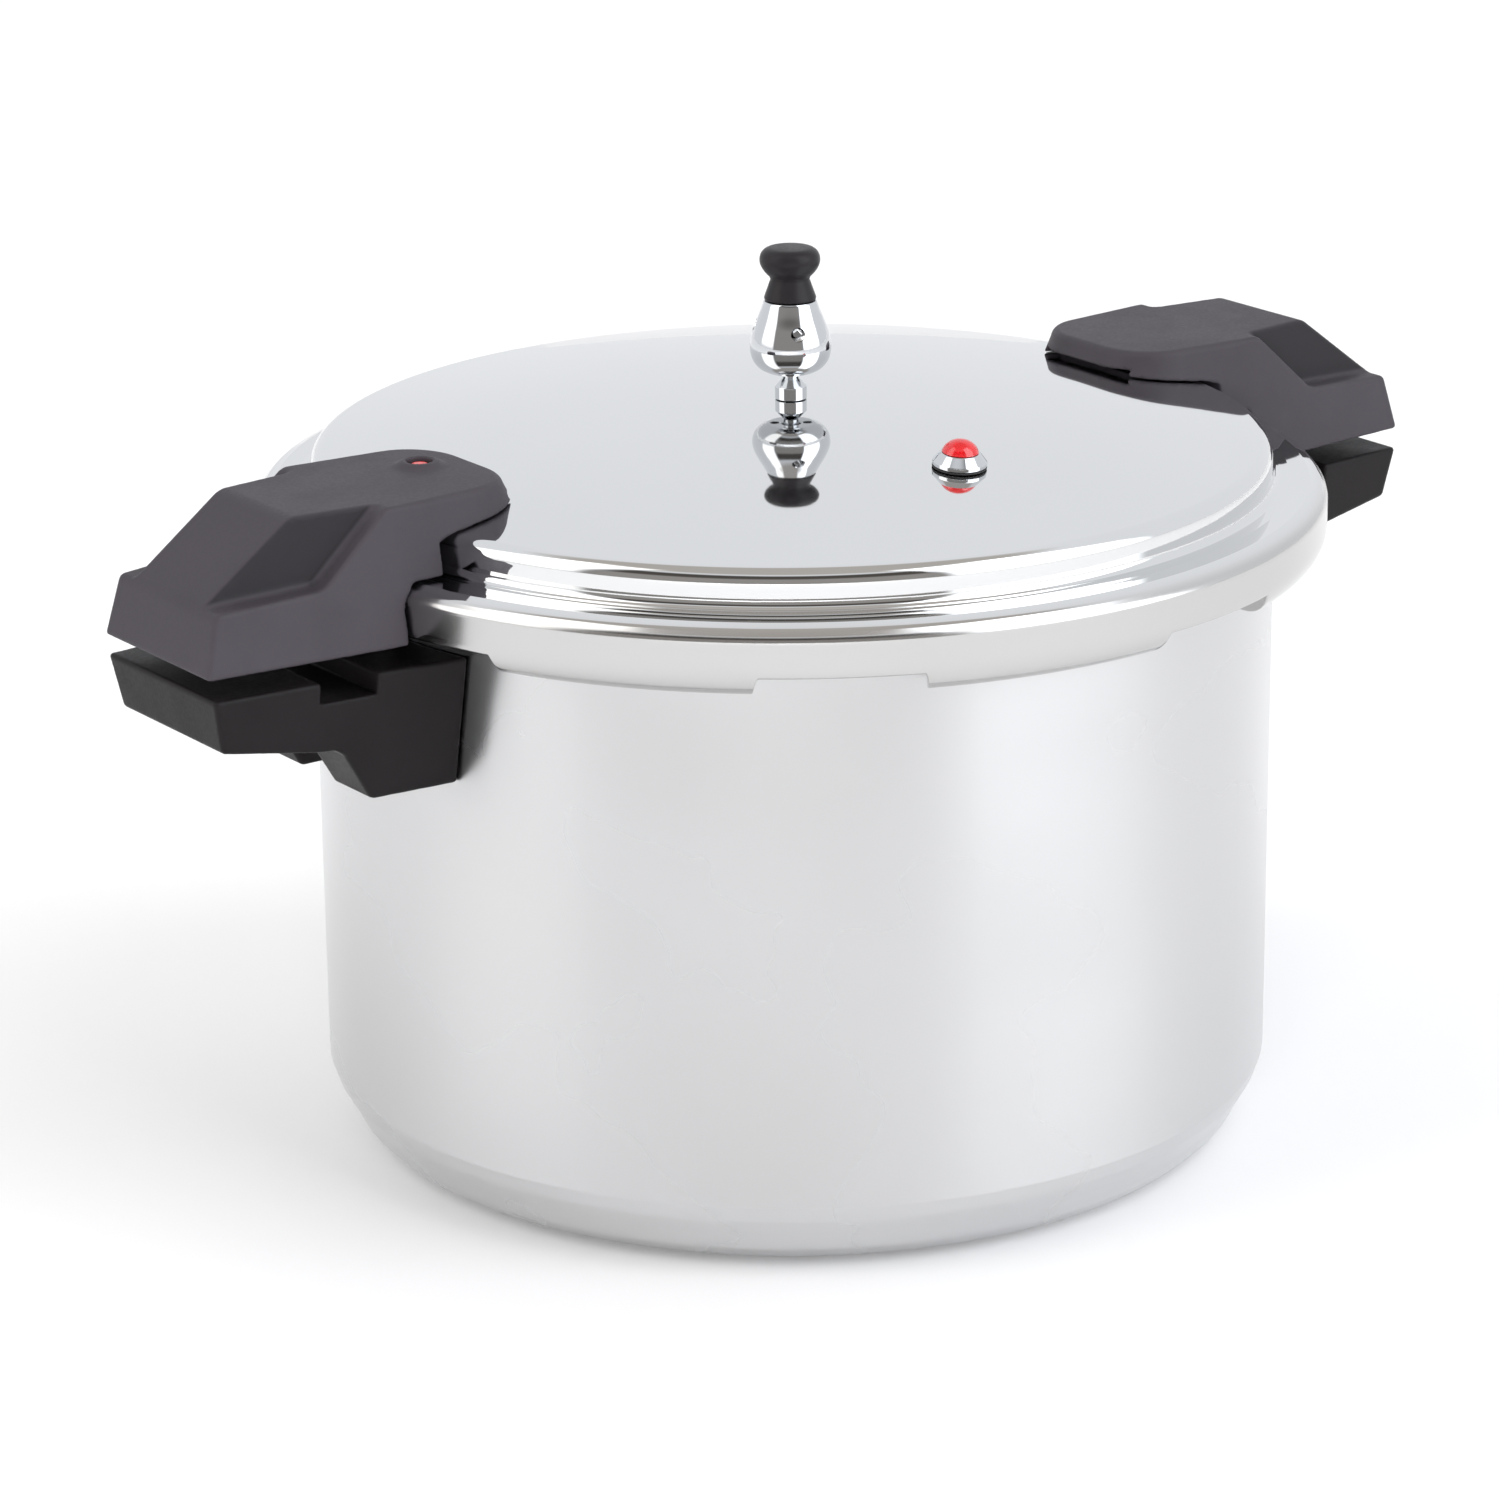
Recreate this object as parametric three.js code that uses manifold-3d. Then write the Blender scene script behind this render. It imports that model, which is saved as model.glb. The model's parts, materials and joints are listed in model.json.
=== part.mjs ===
// Pressure canner: a deep aluminium pot with a bayonet-locked lid, two pairs of side handles,
// a vent tube with its pressure weight, an over-pressure plug, a lock pin and a jar rack.
// Millimetres, +Z up. The origin is the centre of the pot's flat base, and the handles lie along X.

import * as THREE from 'three';
import { mergeVertices } from 'three/addons/utils/BufferGeometryUtils.js';
import Module from 'manifold-3d';

const wasm = await Module();
wasm.setup();

// ---------------------------------------------------------------- driving dimensions

const GAP = 0.4;
const BIG_RING = 60;
const MEDIUM_RING = 24;
const SMALL_RING = 16;
const HALF_TURN = Math.PI;
const DEGREE = Math.PI / 180;

const POT = {
  radius: 158,
  wall: 3,
  base: 4,
  footRadius: 138.6,
  innerFillet: 24,
  rim: 211.5,
  rimFlare: 1.5,
};

const LID = {
  top: 231.2,
  crown: 12.2,
  crownRadius: 152,
  plate: 2.8,
  wallRadius: 157.3,
  shoulder: 5,
  ledge: 218.3,
  ledgeRadius: 169,
  skirtRadius: 175.3,
  skirtWall: 3,
  skirtBottom: 200.5,
  lugBottom: 194.6,
  lugThickness: 3.4,
  lugInner: 161,
};

const LUGS = {
  count: 8,
  firstAngle: -144,
  lidWidth: 27,
  potWidth: 14,
  potRadius: 167.8,
  potBottom: 199.2,
  potTop: 203.2,
};

const RELIEF_RADIUS = 89;
const LOCK_PIN = { x: -140.3, y: 5.6 };
const HANDLE_SCREW = { x: 141, y: 17 };

const UPPER = {
  top: 243.1,
  bottom: 200.3,
  tip: 240.6,
  tipTop: [235.8, 219.6],
  slopeTop: 204,
  tipHalfWidth: 31.6,
  flare: 0.085,
  draft: 0.14,
  noseX: 124.3,
  noseDraft: 5,
};

const LOWER = {
  top: 193.9,
  tip: 239.1,
  tipBottom: [235.8, 176.3],
  legOuter: 184.5,
  legBottom: 151.7,
  tipHalfWidth: 32.6,
  flare: 0.085,
  draft: 0.14,
  channelHalfWidth: 10,
  screwHeight: 161,
};

const RACK = { radius: 146, height: 15, sheet: 1.6 };

// ---------------------------------------------------------------- materials

function material(color, roughness, metalness) {
  return new THREE.MeshStandardMaterial({ color, roughness, metalness });
}

const satinAluminium = () => material(0xd8dadc, 0.3, 1);
const polishedAluminium = () => material(0xe2e4e7, 0.08, 1);
const chrome = () => material(0xe9ecf0, 0.04, 1);
const steel = () => material(0xb9bcc0, 0.35, 1);
const charcoalPhenolic = () => material(0x3d3a40, 0.55, 0);
const blackPhenolic = () => material(0x282525, 0.5, 0);
const blackRubber = () => material(0x1f1f21, 0.7, 0);
const redRubber = () => material(0xc4121b, 0.3, 0);

// ---------------------------------------------------------------- solids

// A closed mesh as a solid: shared vertices merged, empty triangles dropped, faces turned outward.
function solid(geometry) {
  const bare = geometry.clone();
  bare.deleteAttribute('normal');
  bare.deleteAttribute('uv');
  const merged = mergeVertices(bare, 1e-3);
  const vertProperties = new Float32Array(merged.attributes.position.array);
  const index = merged.index.array;
  const corner = [new THREE.Vector3(), new THREE.Vector3(), new THREE.Vector3()];
  const triangles = [];
  let volume = 0;
  for (let i = 0; i < index.length; i += 3) {
    const [a, b, c] = index.slice(i, i + 3);
    if (a === b || b === c || c === a) continue;
    [a, b, c].forEach((vertex, k) => corner[k].fromArray(vertProperties, vertex * 3));
    volume += corner[0].dot(corner[1].clone().cross(corner[2]));
    triangles.push([a, b, c]);
  }
  if (volume < 0) triangles.forEach((triangle) => triangle.reverse());
  const triVerts = new Uint32Array(triangles.flat());
  return new wasm.Manifold(new wasm.Mesh({ numProp: 3, vertProperties, triVerts }));
}

// A solid turned about Z from [radius, height] points, which start and end on the axis or form a loop.
function turned(profile, segments = SMALL_RING) {
  const points = profile.map(([radius, height]) => new THREE.Vector2(radius, height));
  if (profile[0][0] > 0) points.push(points[0].clone());
  return solid(new THREE.LatheGeometry(points, segments).rotateX(HALF_TURN / 2));
}

// Points along an arc of a profile, with its angles in degrees from the first coordinate's direction.
function arc([cx, cy], radiusX, radiusY, from, to, steps) {
  return Array.from({ length: steps + 1 }, (_, i) => {
    const angle = (from + ((to - from) * i) / steps) * DEGREE;
    return [cx + radiusX * Math.cos(angle), cy + radiusY * Math.sin(angle)];
  });
}

function outline(points) {
  return new THREE.Shape(points.map(([x, y]) => new THREE.Vector2(x, y)));
}

// An [x, y] outline standing from one height to another.
function upright(shape, bottom, top, curveSegments = 8) {
  const settings = { depth: top - bottom, bevelEnabled: false, curveSegments };
  return solid(new THREE.ExtrudeGeometry(shape, settings).translate(0, 0, bottom));
}

// An [x, z] outline extended to both sides along Y.
function sideways(points, halfWidth) {
  const settings = { depth: 2 * halfWidth, bevelEnabled: false };
  const geometry = new THREE.ExtrudeGeometry(outline(points), settings);
  return solid(geometry.rotateX(HALF_TURN / 2).translate(0, halfWidth, 0));
}

// A block whose half width along Y follows halfWidth(x, z).
function drafted([x0, x1], [z0, z1], halfWidth) {
  const geometry = new THREE.BoxGeometry(2, 2, 2);
  const place = geometry.attributes.position;
  for (let i = 0; i < place.count; i += 1) {
    const x = place.getX(i) < 0 ? x0 : x1;
    const z = place.getZ(i) < 0 ? z0 : z1;
    place.setXYZ(i, x, Math.sign(place.getY(i)) * halfWidth(x, z), z);
  }
  return solid(geometry);
}

function box([x0, y0, z0], [x1, y1, z1]) {
  const geometry = new THREE.BoxGeometry(x1 - x0, y1 - y0, z1 - z0);
  return solid(geometry.translate((x0 + x1) / 2, (y0 + y1) / 2, (z0 + z1) / 2));
}

function rod(radius, bottom, top, x = 0, y = 0, segments = SMALL_RING) {
  const profile = [[0, bottom], [radius, bottom], [radius, top], [0, top]];
  return turned(profile, segments).translate([x, y, 0]);
}

// A rod along X at a given height.
function crossRod(radius, x0, x1, z, segments = SMALL_RING) {
  return rod(radius, x0, x1, 0, 0, segments).rotate([0, 90, 0]).translate([0, 0, z]);
}

function ringSector(inner, outer, bottom, top, centre, width) {
  const from = (centre - width / 2) * DEGREE;
  const to = (centre + width / 2) * DEGREE;
  const shape = new THREE.Shape();
  shape.absarc(0, 0, outer, from, to, false);
  shape.absarc(0, 0, inner, to, from, true);
  return upright(shape, bottom, top, Math.max(2, Math.round(width / 4)));
}

function hexNut(acrossFlats, bottom, top) {
  return rod(acrossFlats / 2 / Math.cos(HALF_TURN / 6), bottom, top, 0, 0, 6);
}

function joined(parts) {
  return parts.reduce((whole, part) => whole.add(part));
}

function without(body, cutters) {
  return cutters.reduce((left, cutter) => left.subtract(cutter), body);
}

function mesh(name, body, look) {
  const { vertProperties, triVerts } = body.getMesh();
  const geometry = new THREE.BufferGeometry();
  geometry.setAttribute('position', new THREE.BufferAttribute(new Float32Array(vertProperties), 3));
  geometry.setIndex(new THREE.BufferAttribute(new Uint32Array(triVerts), 1));
  geometry.computeVertexNormals();
  const result = new THREE.Mesh(geometry, look);
  result.name = name;
  return result;
}

// ---------------------------------------------------------------- pot

function lugCentre(index) {
  return LUGS.firstAngle + (index * 360) / LUGS.count;
}

function potShell() {
  const { radius, wall, base, footRadius, innerFillet, rim, rimFlare } = POT;
  const inner = radius - wall;
  const cornerEdge = [radius - 5.4, 12.4];
  const wallEdge = [radius, 23.7];
  const fillet = arc([inner - innerFillet, base + innerFillet], innerFillet, innerFillet, 0, -90, 6);
  const profile = [
    [0, 0],
    [footRadius, 0],
    [footRadius + 5.6, 1.7],
    [footRadius + 10.2, 5.6],
    cornerEdge,
    [radius - 2.1, 17.6],
    wallEdge,
    [radius, rim - 8],
    [radius + rimFlare, rim - 6],
    [radius + rimFlare, rim - 0.8],
    [radius + rimFlare - 0.8, rim],
    [inner + 0.8, rim],
    [inner, rim - 0.8],
    ...fillet,
    [0, base],
  ];
  const lugs = Array.from({ length: LUGS.count }, (_, i) =>
    ringSector(radius - 1, LUGS.potRadius, LUGS.potBottom, LUGS.potTop, lugCentre(i), LUGS.potWidth));
  return joined([turned(profile, BIG_RING), ...lugs]);
}

function jarRack() {
  const { radius, height, sheet } = RACK;
  const profile = [
    [0, height],
    [radius - 0.8, height],
    [radius, height + 0.8],
    [radius, height + 3],
    [radius - sheet, height + 3],
    [radius - sheet, height + sheet],
    [0, height + sheet],
  ];
  const feet = [];
  const holes = [rod(11, height - 1, height + 4, 0, 0, 10)];
  for (let i = 0; i < 6; i += 1) {
    const angle = i * 60 * DEGREE;
    const across = [Math.cos(angle), Math.sin(angle)];
    const foot = turned([[0, POT.base + GAP], [5, POT.base + GAP], [9, height + 0.5], [0, height + 0.5]], 12);
    feet.push(foot.translate([115 * across[0], 115 * across[1], 0]));
    holes.push(rod(8, height - 1, height + 4, 45 * across[0], 45 * across[1], 10));
  }
  for (let i = 0; i < 12; i += 1) {
    const angle = (i * 30 + 15) * DEGREE;
    holes.push(rod(8, height - 1, height + 4, 86 * Math.cos(angle), 86 * Math.sin(angle), 10));
  }
  return without(joined([turned(profile, BIG_RING), ...feet]), holes);
}

// ---------------------------------------------------------------- lid

// The height of the domed lid's upper face at a radius.
function crownAt(radius) {
  return LID.top + LID.crown * Math.max(0, 1 - (radius / LID.crownRadius) ** 2);
}

// Points on the domed upper face, or on its underside, between two radii.
function crown(from, to, steps, below = 0) {
  return Array.from({ length: steps + 1 }, (_, i) => {
    const radius = from + ((to - from) * i) / steps;
    return [radius, crownAt(radius) - below];
  });
}

// How far the dome's normal leans outward at a radius, in radians.
function crownLean(radius) {
  return Math.atan((2 * LID.crown * radius) / LID.crownRadius ** 2);
}

function lidShell() {
  const { top, plate, wallRadius, shoulder, ledge, ledgeRadius, skirtRadius, skirtWall } = LID;
  const { lugBottom, lugThickness, lugInner, skirtBottom } = LID;
  const innerWall = wallRadius - plate;
  const innerSkirt = skirtRadius - skirtWall;
  const under = ledge - plate;
  const profile = [
    ...crown(0, wallRadius - shoulder, 5),
    ...arc([wallRadius - shoulder, top - shoulder], shoulder, shoulder, 72, 8, 3),
    [wallRadius, ledge + 3.2],
    [wallRadius + 1, ledge + 1],
    [wallRadius + 3.2, ledge + 0.2],
    [ledgeRadius, ledge],
    [ledgeRadius + 2.8, ledge - 0.7],
    [ledgeRadius + 5, ledge - 2.7],
    [skirtRadius, ledge - 6],
    ...arc([skirtRadius - 10, lugBottom + 10.4], 10, 10.4, 0, -90, 5),
    [lugInner + 0.8, lugBottom],
    [lugInner, lugBottom + 0.8],
    [lugInner, lugBottom + lugThickness],
    ...arc([innerSkirt - 5, lugBottom + lugThickness + 5], 5, 5, -90, 0, 3),
    [innerSkirt, under - 2],
    [innerSkirt - 2, under],
    [innerWall + 2, under],
    [innerWall, under + 2],
    [innerWall, top - plate - 3],
    [innerWall - 1.2, top - plate - 0.9],
    ...crown(innerWall - 4, 0, 5, plate),
  ];
  const notchWidth = 360 / LUGS.count - LUGS.lidWidth;
  const cutters = [];
  for (let i = 0; i < LUGS.count; i += 1) {
    const centre = lugCentre(i + 0.5);
    cutters.push(ringSector(lugInner - 5, skirtRadius + 5, lugBottom - 5, skirtBottom, centre, notchWidth - 1.4));
    cutters.push(ringSector(lugInner - 5, skirtRadius + 5, lugBottom - 5, skirtBottom - 2, centre, notchWidth));
  }
  cutters.push(rod(4.8, top, top + 20));
  const reliefHole = rod(6.5, -8, 8).rotate([crownLean(RELIEF_RADIUS) / DEGREE, 0, 0]);
  cutters.push(reliefHole.translate([0, -RELIEF_RADIUS, crownAt(RELIEF_RADIUS)]));
  cutters.push(rod(2.6, top - 10, top + 5, LOCK_PIN.x, LOCK_PIN.y, 16));
  for (const side of [-1, 1]) {
    for (const end of [-1, 1]) {
      cutters.push(rod(3, top - 10, top + 5, side * HANDLE_SCREW.x, end * HANDLE_SCREW.y, 16));
    }
  }
  return without(turned(profile, BIG_RING), cutters);
}

function sealingGasket() {
  const bottom = POT.rim + GAP;
  const top = LID.ledge - LID.plate - GAP;
  const innerRadius = POT.radius - POT.wall + GAP;
  const outerRadius = LID.skirtRadius - LID.skirtWall - 0.8;
  const profile = [
    [innerRadius, bottom],
    [outerRadius - 3, bottom],
    [outerRadius, bottom - 3],
    [outerRadius, top - 2],
    [outerRadius - 2, top],
    [innerRadius + 2, top],
    [innerRadius, top - 0.6],
  ];
  return turned(profile, BIG_RING);
}

// The space that the lid takes up under its handles, with the handles' fitting clearance.
function lidEnvelope() {
  const { top, wallRadius, shoulder, ledge, skirtRadius, skirtBottom } = LID;
  const profile = [
    [0, crownAt(100) + GAP],
    ...crown(100, wallRadius - shoulder, 4, -GAP),
    [wallRadius + 1.5, top + 0.6],
    [wallRadius + 3.4, top - 1.6],
    [wallRadius + 3.4, ledge + 1.6],
    [skirtRadius - 4.5, ledge + 1],
    [skirtRadius - 1, ledge - 1.6],
    [skirtRadius + 0.7, ledge - 4.4],
    [skirtRadius + 0.7, skirtBottom + 4],
    [skirtRadius - 0.6, UPPER.bottom - 1],
    [0, UPPER.bottom - 1],
  ];
  return turned(profile, BIG_RING);
}

// The handle's plan at its nose, wider by the nose's draft at the bottom.
function nosePlan() {
  const { top, noseX, noseDraft } = UPPER;
  const shape = new THREE.Shape();
  shape.moveTo(noseX, -10);
  shape.quadraticCurveTo(noseX + 1, -27, noseX + 16, -29);
  shape.lineTo(176, -32.4);
  shape.lineTo(190, -60);
  shape.lineTo(250, -60);
  shape.lineTo(250, 60);
  shape.lineTo(190, 60);
  shape.lineTo(176, 32.4);
  shape.lineTo(noseX + 16, 29);
  shape.quadraticCurveTo(noseX + 1, 27, noseX, 10);
  const depth = top - LID.top;
  const geometry = new THREE.ExtrudeGeometry(shape, { depth, bevelEnabled: false, curveSegments: 6 });
  geometry.translate(0, 0, LID.top);
  const place = geometry.attributes.position;
  for (let i = 0; i < place.count; i += 1) {
    const atBottom = place.getZ(i) < top - 1;
    const nearNose = Math.max(0, 1 - (place.getX(i) - noseX) / 30);
    if (atBottom) place.setX(i, place.getX(i) - noseDraft * nearNose);
  }
  return solid(geometry).add(box([160, -60, UPPER.bottom - 5], [250, 60, LID.top + 2]));
}

// One upper handle on the +X side, shaped to sit on the lid's top, ledge and skirt.
function lidHandle() {
  const { top, bottom, tip, tipTop, slopeTop, tipHalfWidth, flare, draft, noseX } = UPPER;
  const profile = [[110, bottom], [tip, bottom], tipTop, [slopeTop, top], [110, top]];
  const outer = (x, z) => tipHalfWidth - flare * (x - tip) - draft * (z - bottom);
  const core = (x, z) => 24.4 - 0.115 * (x - 175.6) - draft * (z - top);
  const span = [[105, tip + 5], [bottom - 2, top + 2]];
  const recess = [[199, 221.8], [175.6, top], [168, top + 7], [260, top + 7], [260, 219.6], [236, 219.6]];
  const sides = sideways(recess, 60).subtract(drafted([150, 270], [bottom - 5, top + 10], core));
  const pockets = [[16, 236], [24, 216]].map(([halfWidth, roof]) => {
    const hollow = [[182, bottom - 5], [234, bottom - 5], [231, 214], [201, 236], [182, 236]];
    return sideways(hollow, halfWidth).intersect(box([170, -60, bottom - 6], [240, 60, roof]));
  });
  const relief = [[105, LID.top - 1], [noseX + 10, LID.top - 1], [noseX + 7, top - 5.9], [105, top - 5.9]];
  const screwHoles = [-1, 1].map((end) =>
    rod(2.9, LID.top - 5, top - 3.4, HANDLE_SCREW.x, end * HANDLE_SCREW.y, 16));
  const blank = sideways(profile, 60).intersect(drafted(...span, outer)).intersect(nosePlan());
  return without(blank, [lidEnvelope(), sides, ...pockets, sideways(relief, 22), ...screwHoles]);
}

// The left handle also guides the lock pin, in a stepped hole with a raised lip.
function pinHandle() {
  const { top } = UPPER;
  const turnedRound = lidHandle().rotate([0, 0, 180]);
  const place = [LOCK_PIN.x, LOCK_PIN.y, 0];
  const lip = turned([[0, top - 1], [8.6, top - 0.2], [8, top + 0.2], [5.6, top + 1.2], [0, top + 1.2]]);
  const hole = turned([
    [0, LID.top - 2],
    [2.6, LID.top - 2],
    [2.6, top - 6.6],
    [4.2, top - 6.6],
    [4.2, top + 3],
    [0, top + 3],
  ]);
  return turnedRound.add(lip.translate(place)).subtract(hole.translate(place));
}

function handleScrew() {
  const under = LID.top - LID.plate - GAP;
  return turned([
    [0, under - 3.2],
    [3.4, under - 3.2],
    [5, under - 1.8],
    [5, under],
    [2.4, under],
    [2.4, UPPER.top - 4],
    [0, UPPER.top - 4],
  ], 16);
}

// ---------------------------------------------------------------- vent tube and weight

// These parts are built with their height counted from the lid's upper face.

function ventTube() {
  return turned([
    [1.5, -10.7],
    [4.1, -10.7],
    [4.1, GAP],
    [5.25, GAP],
    [5.25, 4.3],
    [3.1, 6.8],
    [2.55, 7.6],
    [2.55, 19.4],
    [1.5, 20],
  ]);
}

function nut(acrossFlats, bore, thickness) {
  const top = -LID.plate - GAP;
  const hole = rod(bore, top - thickness - 1, top + 1);
  return hexNut(acrossFlats, top - thickness, top).subtract(hole);
}

function weightBody() {
  const shell = turned([
    [0, 9.25],
    [7.8, 9.25],
    [10.3, 10.3],
    [12.35, 12.95],
    [13.3, 17],
    [12.95, 20.4],
    [11.75, 24.3],
    [10.1, 28.9],
    [8.6, 33],
    [2.5, 33],
    [2.5, 41.8],
    [0, 41.8],
  ], MEDIUM_RING);
  const sideHole = (angle, height) =>
    turned([[0, 7.3], [1.5, 7.3], [1.5, 10.3], [2.5, 11.9], [2.5, 20], [0, 20]], 12)
      .rotate([0, 90, 0])
      .rotate([0, 0, angle])
      .translate([0, 0, height]);
  const underHole = (angle) =>
    rod(1.55, 5, 13.6, 5.45 * Math.cos(angle * DEGREE), 5.45 * Math.sin(angle * DEGREE), 12);
  return without(shell, [
    rod(3.3, 5, 20.6),
    sideHole(-114, 24.3),
    sideHole(146, 25.3),
    sideHole(-20, 18.5),
    underHole(145),
    underHole(-35),
  ]);
}

function weightKnob() {
  const bore = 2.9;
  return turned([
    [0, 42.2],
    [bore, 42.2],
    [bore, 33.4],
    [8.5, 33.4],
    [8.5, 34],
    [6.4, 39.9],
    [8.2, 42],
    ...arc([7, 46], 2.87, 3.8, -45, 80, 5),
    [3.9, 50.5],
    [0, 50.6],
  ], MEDIUM_RING);
}

// ---------------------------------------------------------------- over-pressure plug

function reliefGasket() {
  return turned([[6.4, 0.3], [8.7, 0.3], [8.7, 0.9], [6.4, 0.9]]);
}

function reliefBezel() {
  return turned([[3.7, -9.8], [6, -9.8], [6, 1.2], [8.7, 1.2], [8.7, 2.2], [6.3, 5.1], [3.7, 5.1]]);
}

function reliefPlug() {
  return turned([
    [0, -12.7],
    [3.5, -12.7],
    [4.5, -11.4],
    [4.5, -10.2],
    [3.3, -10.2],
    [3.3, 5.4],
    [6.1, 5.4],
    [6, 6.2],
    [5, 7.8],
    [2.9, 8.8],
    [0, 9.2],
  ]);
}

// ---------------------------------------------------------------- lock pin

function lockPin() {
  const shoulder = UPPER.top - 6.6 + GAP;
  const top = UPPER.top - 0.1;
  return turned([
    [0, 219.4],
    [2.1, 219.4],
    [2.1, shoulder],
    [3.7, shoulder],
    [3.7, top - 0.9],
    [2.8, top - 0.2],
    [0, top],
  ]);
}

function lockPinGasket() {
  return turned([[2.5, 221.4], [4.5, 221.4], [4.5, 223.8], [2.5, 223.8]], 16);
}

// ---------------------------------------------------------------- lower handles

function bodyHandle() {
  const { top, tip, tipBottom, legOuter, legBottom, tipHalfWidth, flare, draft } = LOWER;
  const { channelHalfWidth, screwHeight } = LOWER;
  const profile = [
    [140, legBottom],
    [legOuter, legBottom],
    [193, 166],
    [195.4, 168.6],
    [199, 169.8],
    [205, 171],
    tipBottom,
    [tip, top],
    [140, top],
  ];
  const sides = (x, z) => tipHalfWidth - flare * (x - tip) + draft * (z - top);
  const blank = sideways(profile, 60).intersect(drafted([135, tip + 3], [legBottom - 2, top + 2], sides));
  return without(blank, [
    rod(POT.radius + GAP, legBottom - 5, top + 5, 0, 0, BIG_RING),
    box([184.2, -60, 187], [203.5, 60, top + 5]),
    box([170, -channelHalfWidth, legBottom - 5], [210, channelHalfWidth, 168]),
    ringSector(POT.radius - 5, POT.radius + 2.8, 154.2, 189, 0, 12),
    crossRod(6.4, 150, 166.4, screwHeight),
    crossRod(3, 160, 175, screwHeight, 16),
  ]);
}

function bodyBracket() {
  const saddle = ringSector(POT.radius + GAP, POT.radius + 2.4, 154.8, 188.4, 0, 11);
  const boss = crossRod(6, POT.radius + 1, 166, LOWER.screwHeight);
  const bore = crossRod(2.9, POT.radius + 1.6, 175, LOWER.screwHeight, 16);
  return saddle.add(boss).subtract(bore);
}

function bodyScrew() {
  const profile = [[0, 160.4], [2.5, 160.4], [2.5, 170.4], [5.2, 170.4], [5.2, 172.2], [3.6, 173.8], [0, 173.8]];
  return turned(profile, 16).rotate([0, 90, 0]).translate([0, 0, LOWER.screwHeight]);
}

// ---------------------------------------------------------------- assembly

const canner = new THREE.Group();

canner.add(mesh('pot_shell', potShell(), satinAluminium()));
canner.add(mesh('jar_rack', jarRack(), satinAluminium()));
canner.add(mesh('sealing_gasket', sealingGasket(), blackRubber()));
canner.add(mesh('lid_shell', lidShell(), polishedAluminium()));
canner.add(mesh('lid_handle_right', lidHandle(), charcoalPhenolic()));
canner.add(mesh('lid_handle_left', pinHandle(), charcoalPhenolic()));

for (const [side, turn] of [['right', 0], ['left', 180]]) {
  canner.add(mesh(`body_handle_${side}`, bodyHandle().rotate([0, 0, turn]), blackPhenolic()));
  canner.add(mesh(`body_handle_bracket_${side}`, bodyBracket().rotate([0, 0, turn]), steel()));
  canner.add(mesh(`body_handle_screw_${side}`, bodyScrew().rotate([0, 0, turn]), steel()));
  for (const [row, end] of [['front', -1], ['back', 1]]) {
    const screw = mesh(`lid_handle_screw_${side}_${row}`, handleScrew(), steel());
    screw.position.set(HANDLE_SCREW.x * Math.cos(turn * DEGREE), HANDLE_SCREW.y * end, 0);
    canner.add(screw);
  }
}

const vent = new THREE.Group();
vent.position.z = crownAt(0);
vent.add(mesh('vent_tube', ventTube(), chrome()));
vent.add(mesh('vent_tube_nut', nut(15, 4.7, 4.5), steel()));
vent.add(mesh('weight_body', weightBody(), chrome()));
vent.add(mesh('weight_knob', weightKnob(), blackPhenolic()));
canner.add(vent);

const relief = new THREE.Group();
relief.position.set(0, -RELIEF_RADIUS, crownAt(RELIEF_RADIUS));
relief.rotation.x = crownLean(RELIEF_RADIUS);
relief.add(mesh('relief_plug_gasket', reliefGasket(), blackRubber()));
relief.add(mesh('relief_plug_bezel', reliefBezel(), chrome()));
relief.add(mesh('relief_plug_nut', nut(17, 6.5, 4), steel()));
relief.add(mesh('relief_plug', reliefPlug(), redRubber()));
canner.add(relief);

const lock = new THREE.Group();
lock.position.set(LOCK_PIN.x, LOCK_PIN.y, 0);
lock.add(mesh('lock_pin', lockPin(), redRubber()));
lock.add(mesh('lock_pin_gasket', lockPinGasket(), blackRubber()));
canner.add(lock);

export default canner;
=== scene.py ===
import json
import math

import bpy
import numpy as np
from mathutils import Matrix, Vector

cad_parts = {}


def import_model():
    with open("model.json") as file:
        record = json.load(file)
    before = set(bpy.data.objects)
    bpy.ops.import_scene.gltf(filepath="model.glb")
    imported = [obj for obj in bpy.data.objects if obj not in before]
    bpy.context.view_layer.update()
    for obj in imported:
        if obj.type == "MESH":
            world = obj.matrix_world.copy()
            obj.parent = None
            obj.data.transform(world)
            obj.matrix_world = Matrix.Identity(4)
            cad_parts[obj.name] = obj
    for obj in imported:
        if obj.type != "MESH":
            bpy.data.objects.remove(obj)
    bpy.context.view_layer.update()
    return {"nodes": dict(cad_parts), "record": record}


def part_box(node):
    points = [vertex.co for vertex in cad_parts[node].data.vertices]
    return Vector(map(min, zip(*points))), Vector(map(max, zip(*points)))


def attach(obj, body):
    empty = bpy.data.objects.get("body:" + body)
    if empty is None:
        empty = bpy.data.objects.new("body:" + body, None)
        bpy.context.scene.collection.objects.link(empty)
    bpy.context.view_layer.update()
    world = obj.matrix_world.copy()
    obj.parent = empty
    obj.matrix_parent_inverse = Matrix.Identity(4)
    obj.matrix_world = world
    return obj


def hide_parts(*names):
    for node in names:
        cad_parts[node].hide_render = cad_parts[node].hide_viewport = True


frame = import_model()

# Pressure canner: the looks. Shapes are worked out in millimetres and stored in metres, in the frame of the
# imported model: +Z up, the origin at the centre of the pot's base, the handles along X.

MM = 0.001


def box_mm(node):
    low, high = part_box(node)
    return np.array(low) / MM, np.array(high) / MM


def axis_of(node):
    """The x and y of a turned CAD node's axis, in millimetres."""
    low, high = box_mm(node)
    return (low[:2] + high[:2]) / 2


# ---------------------------------------------------------------- sizes and places

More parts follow.
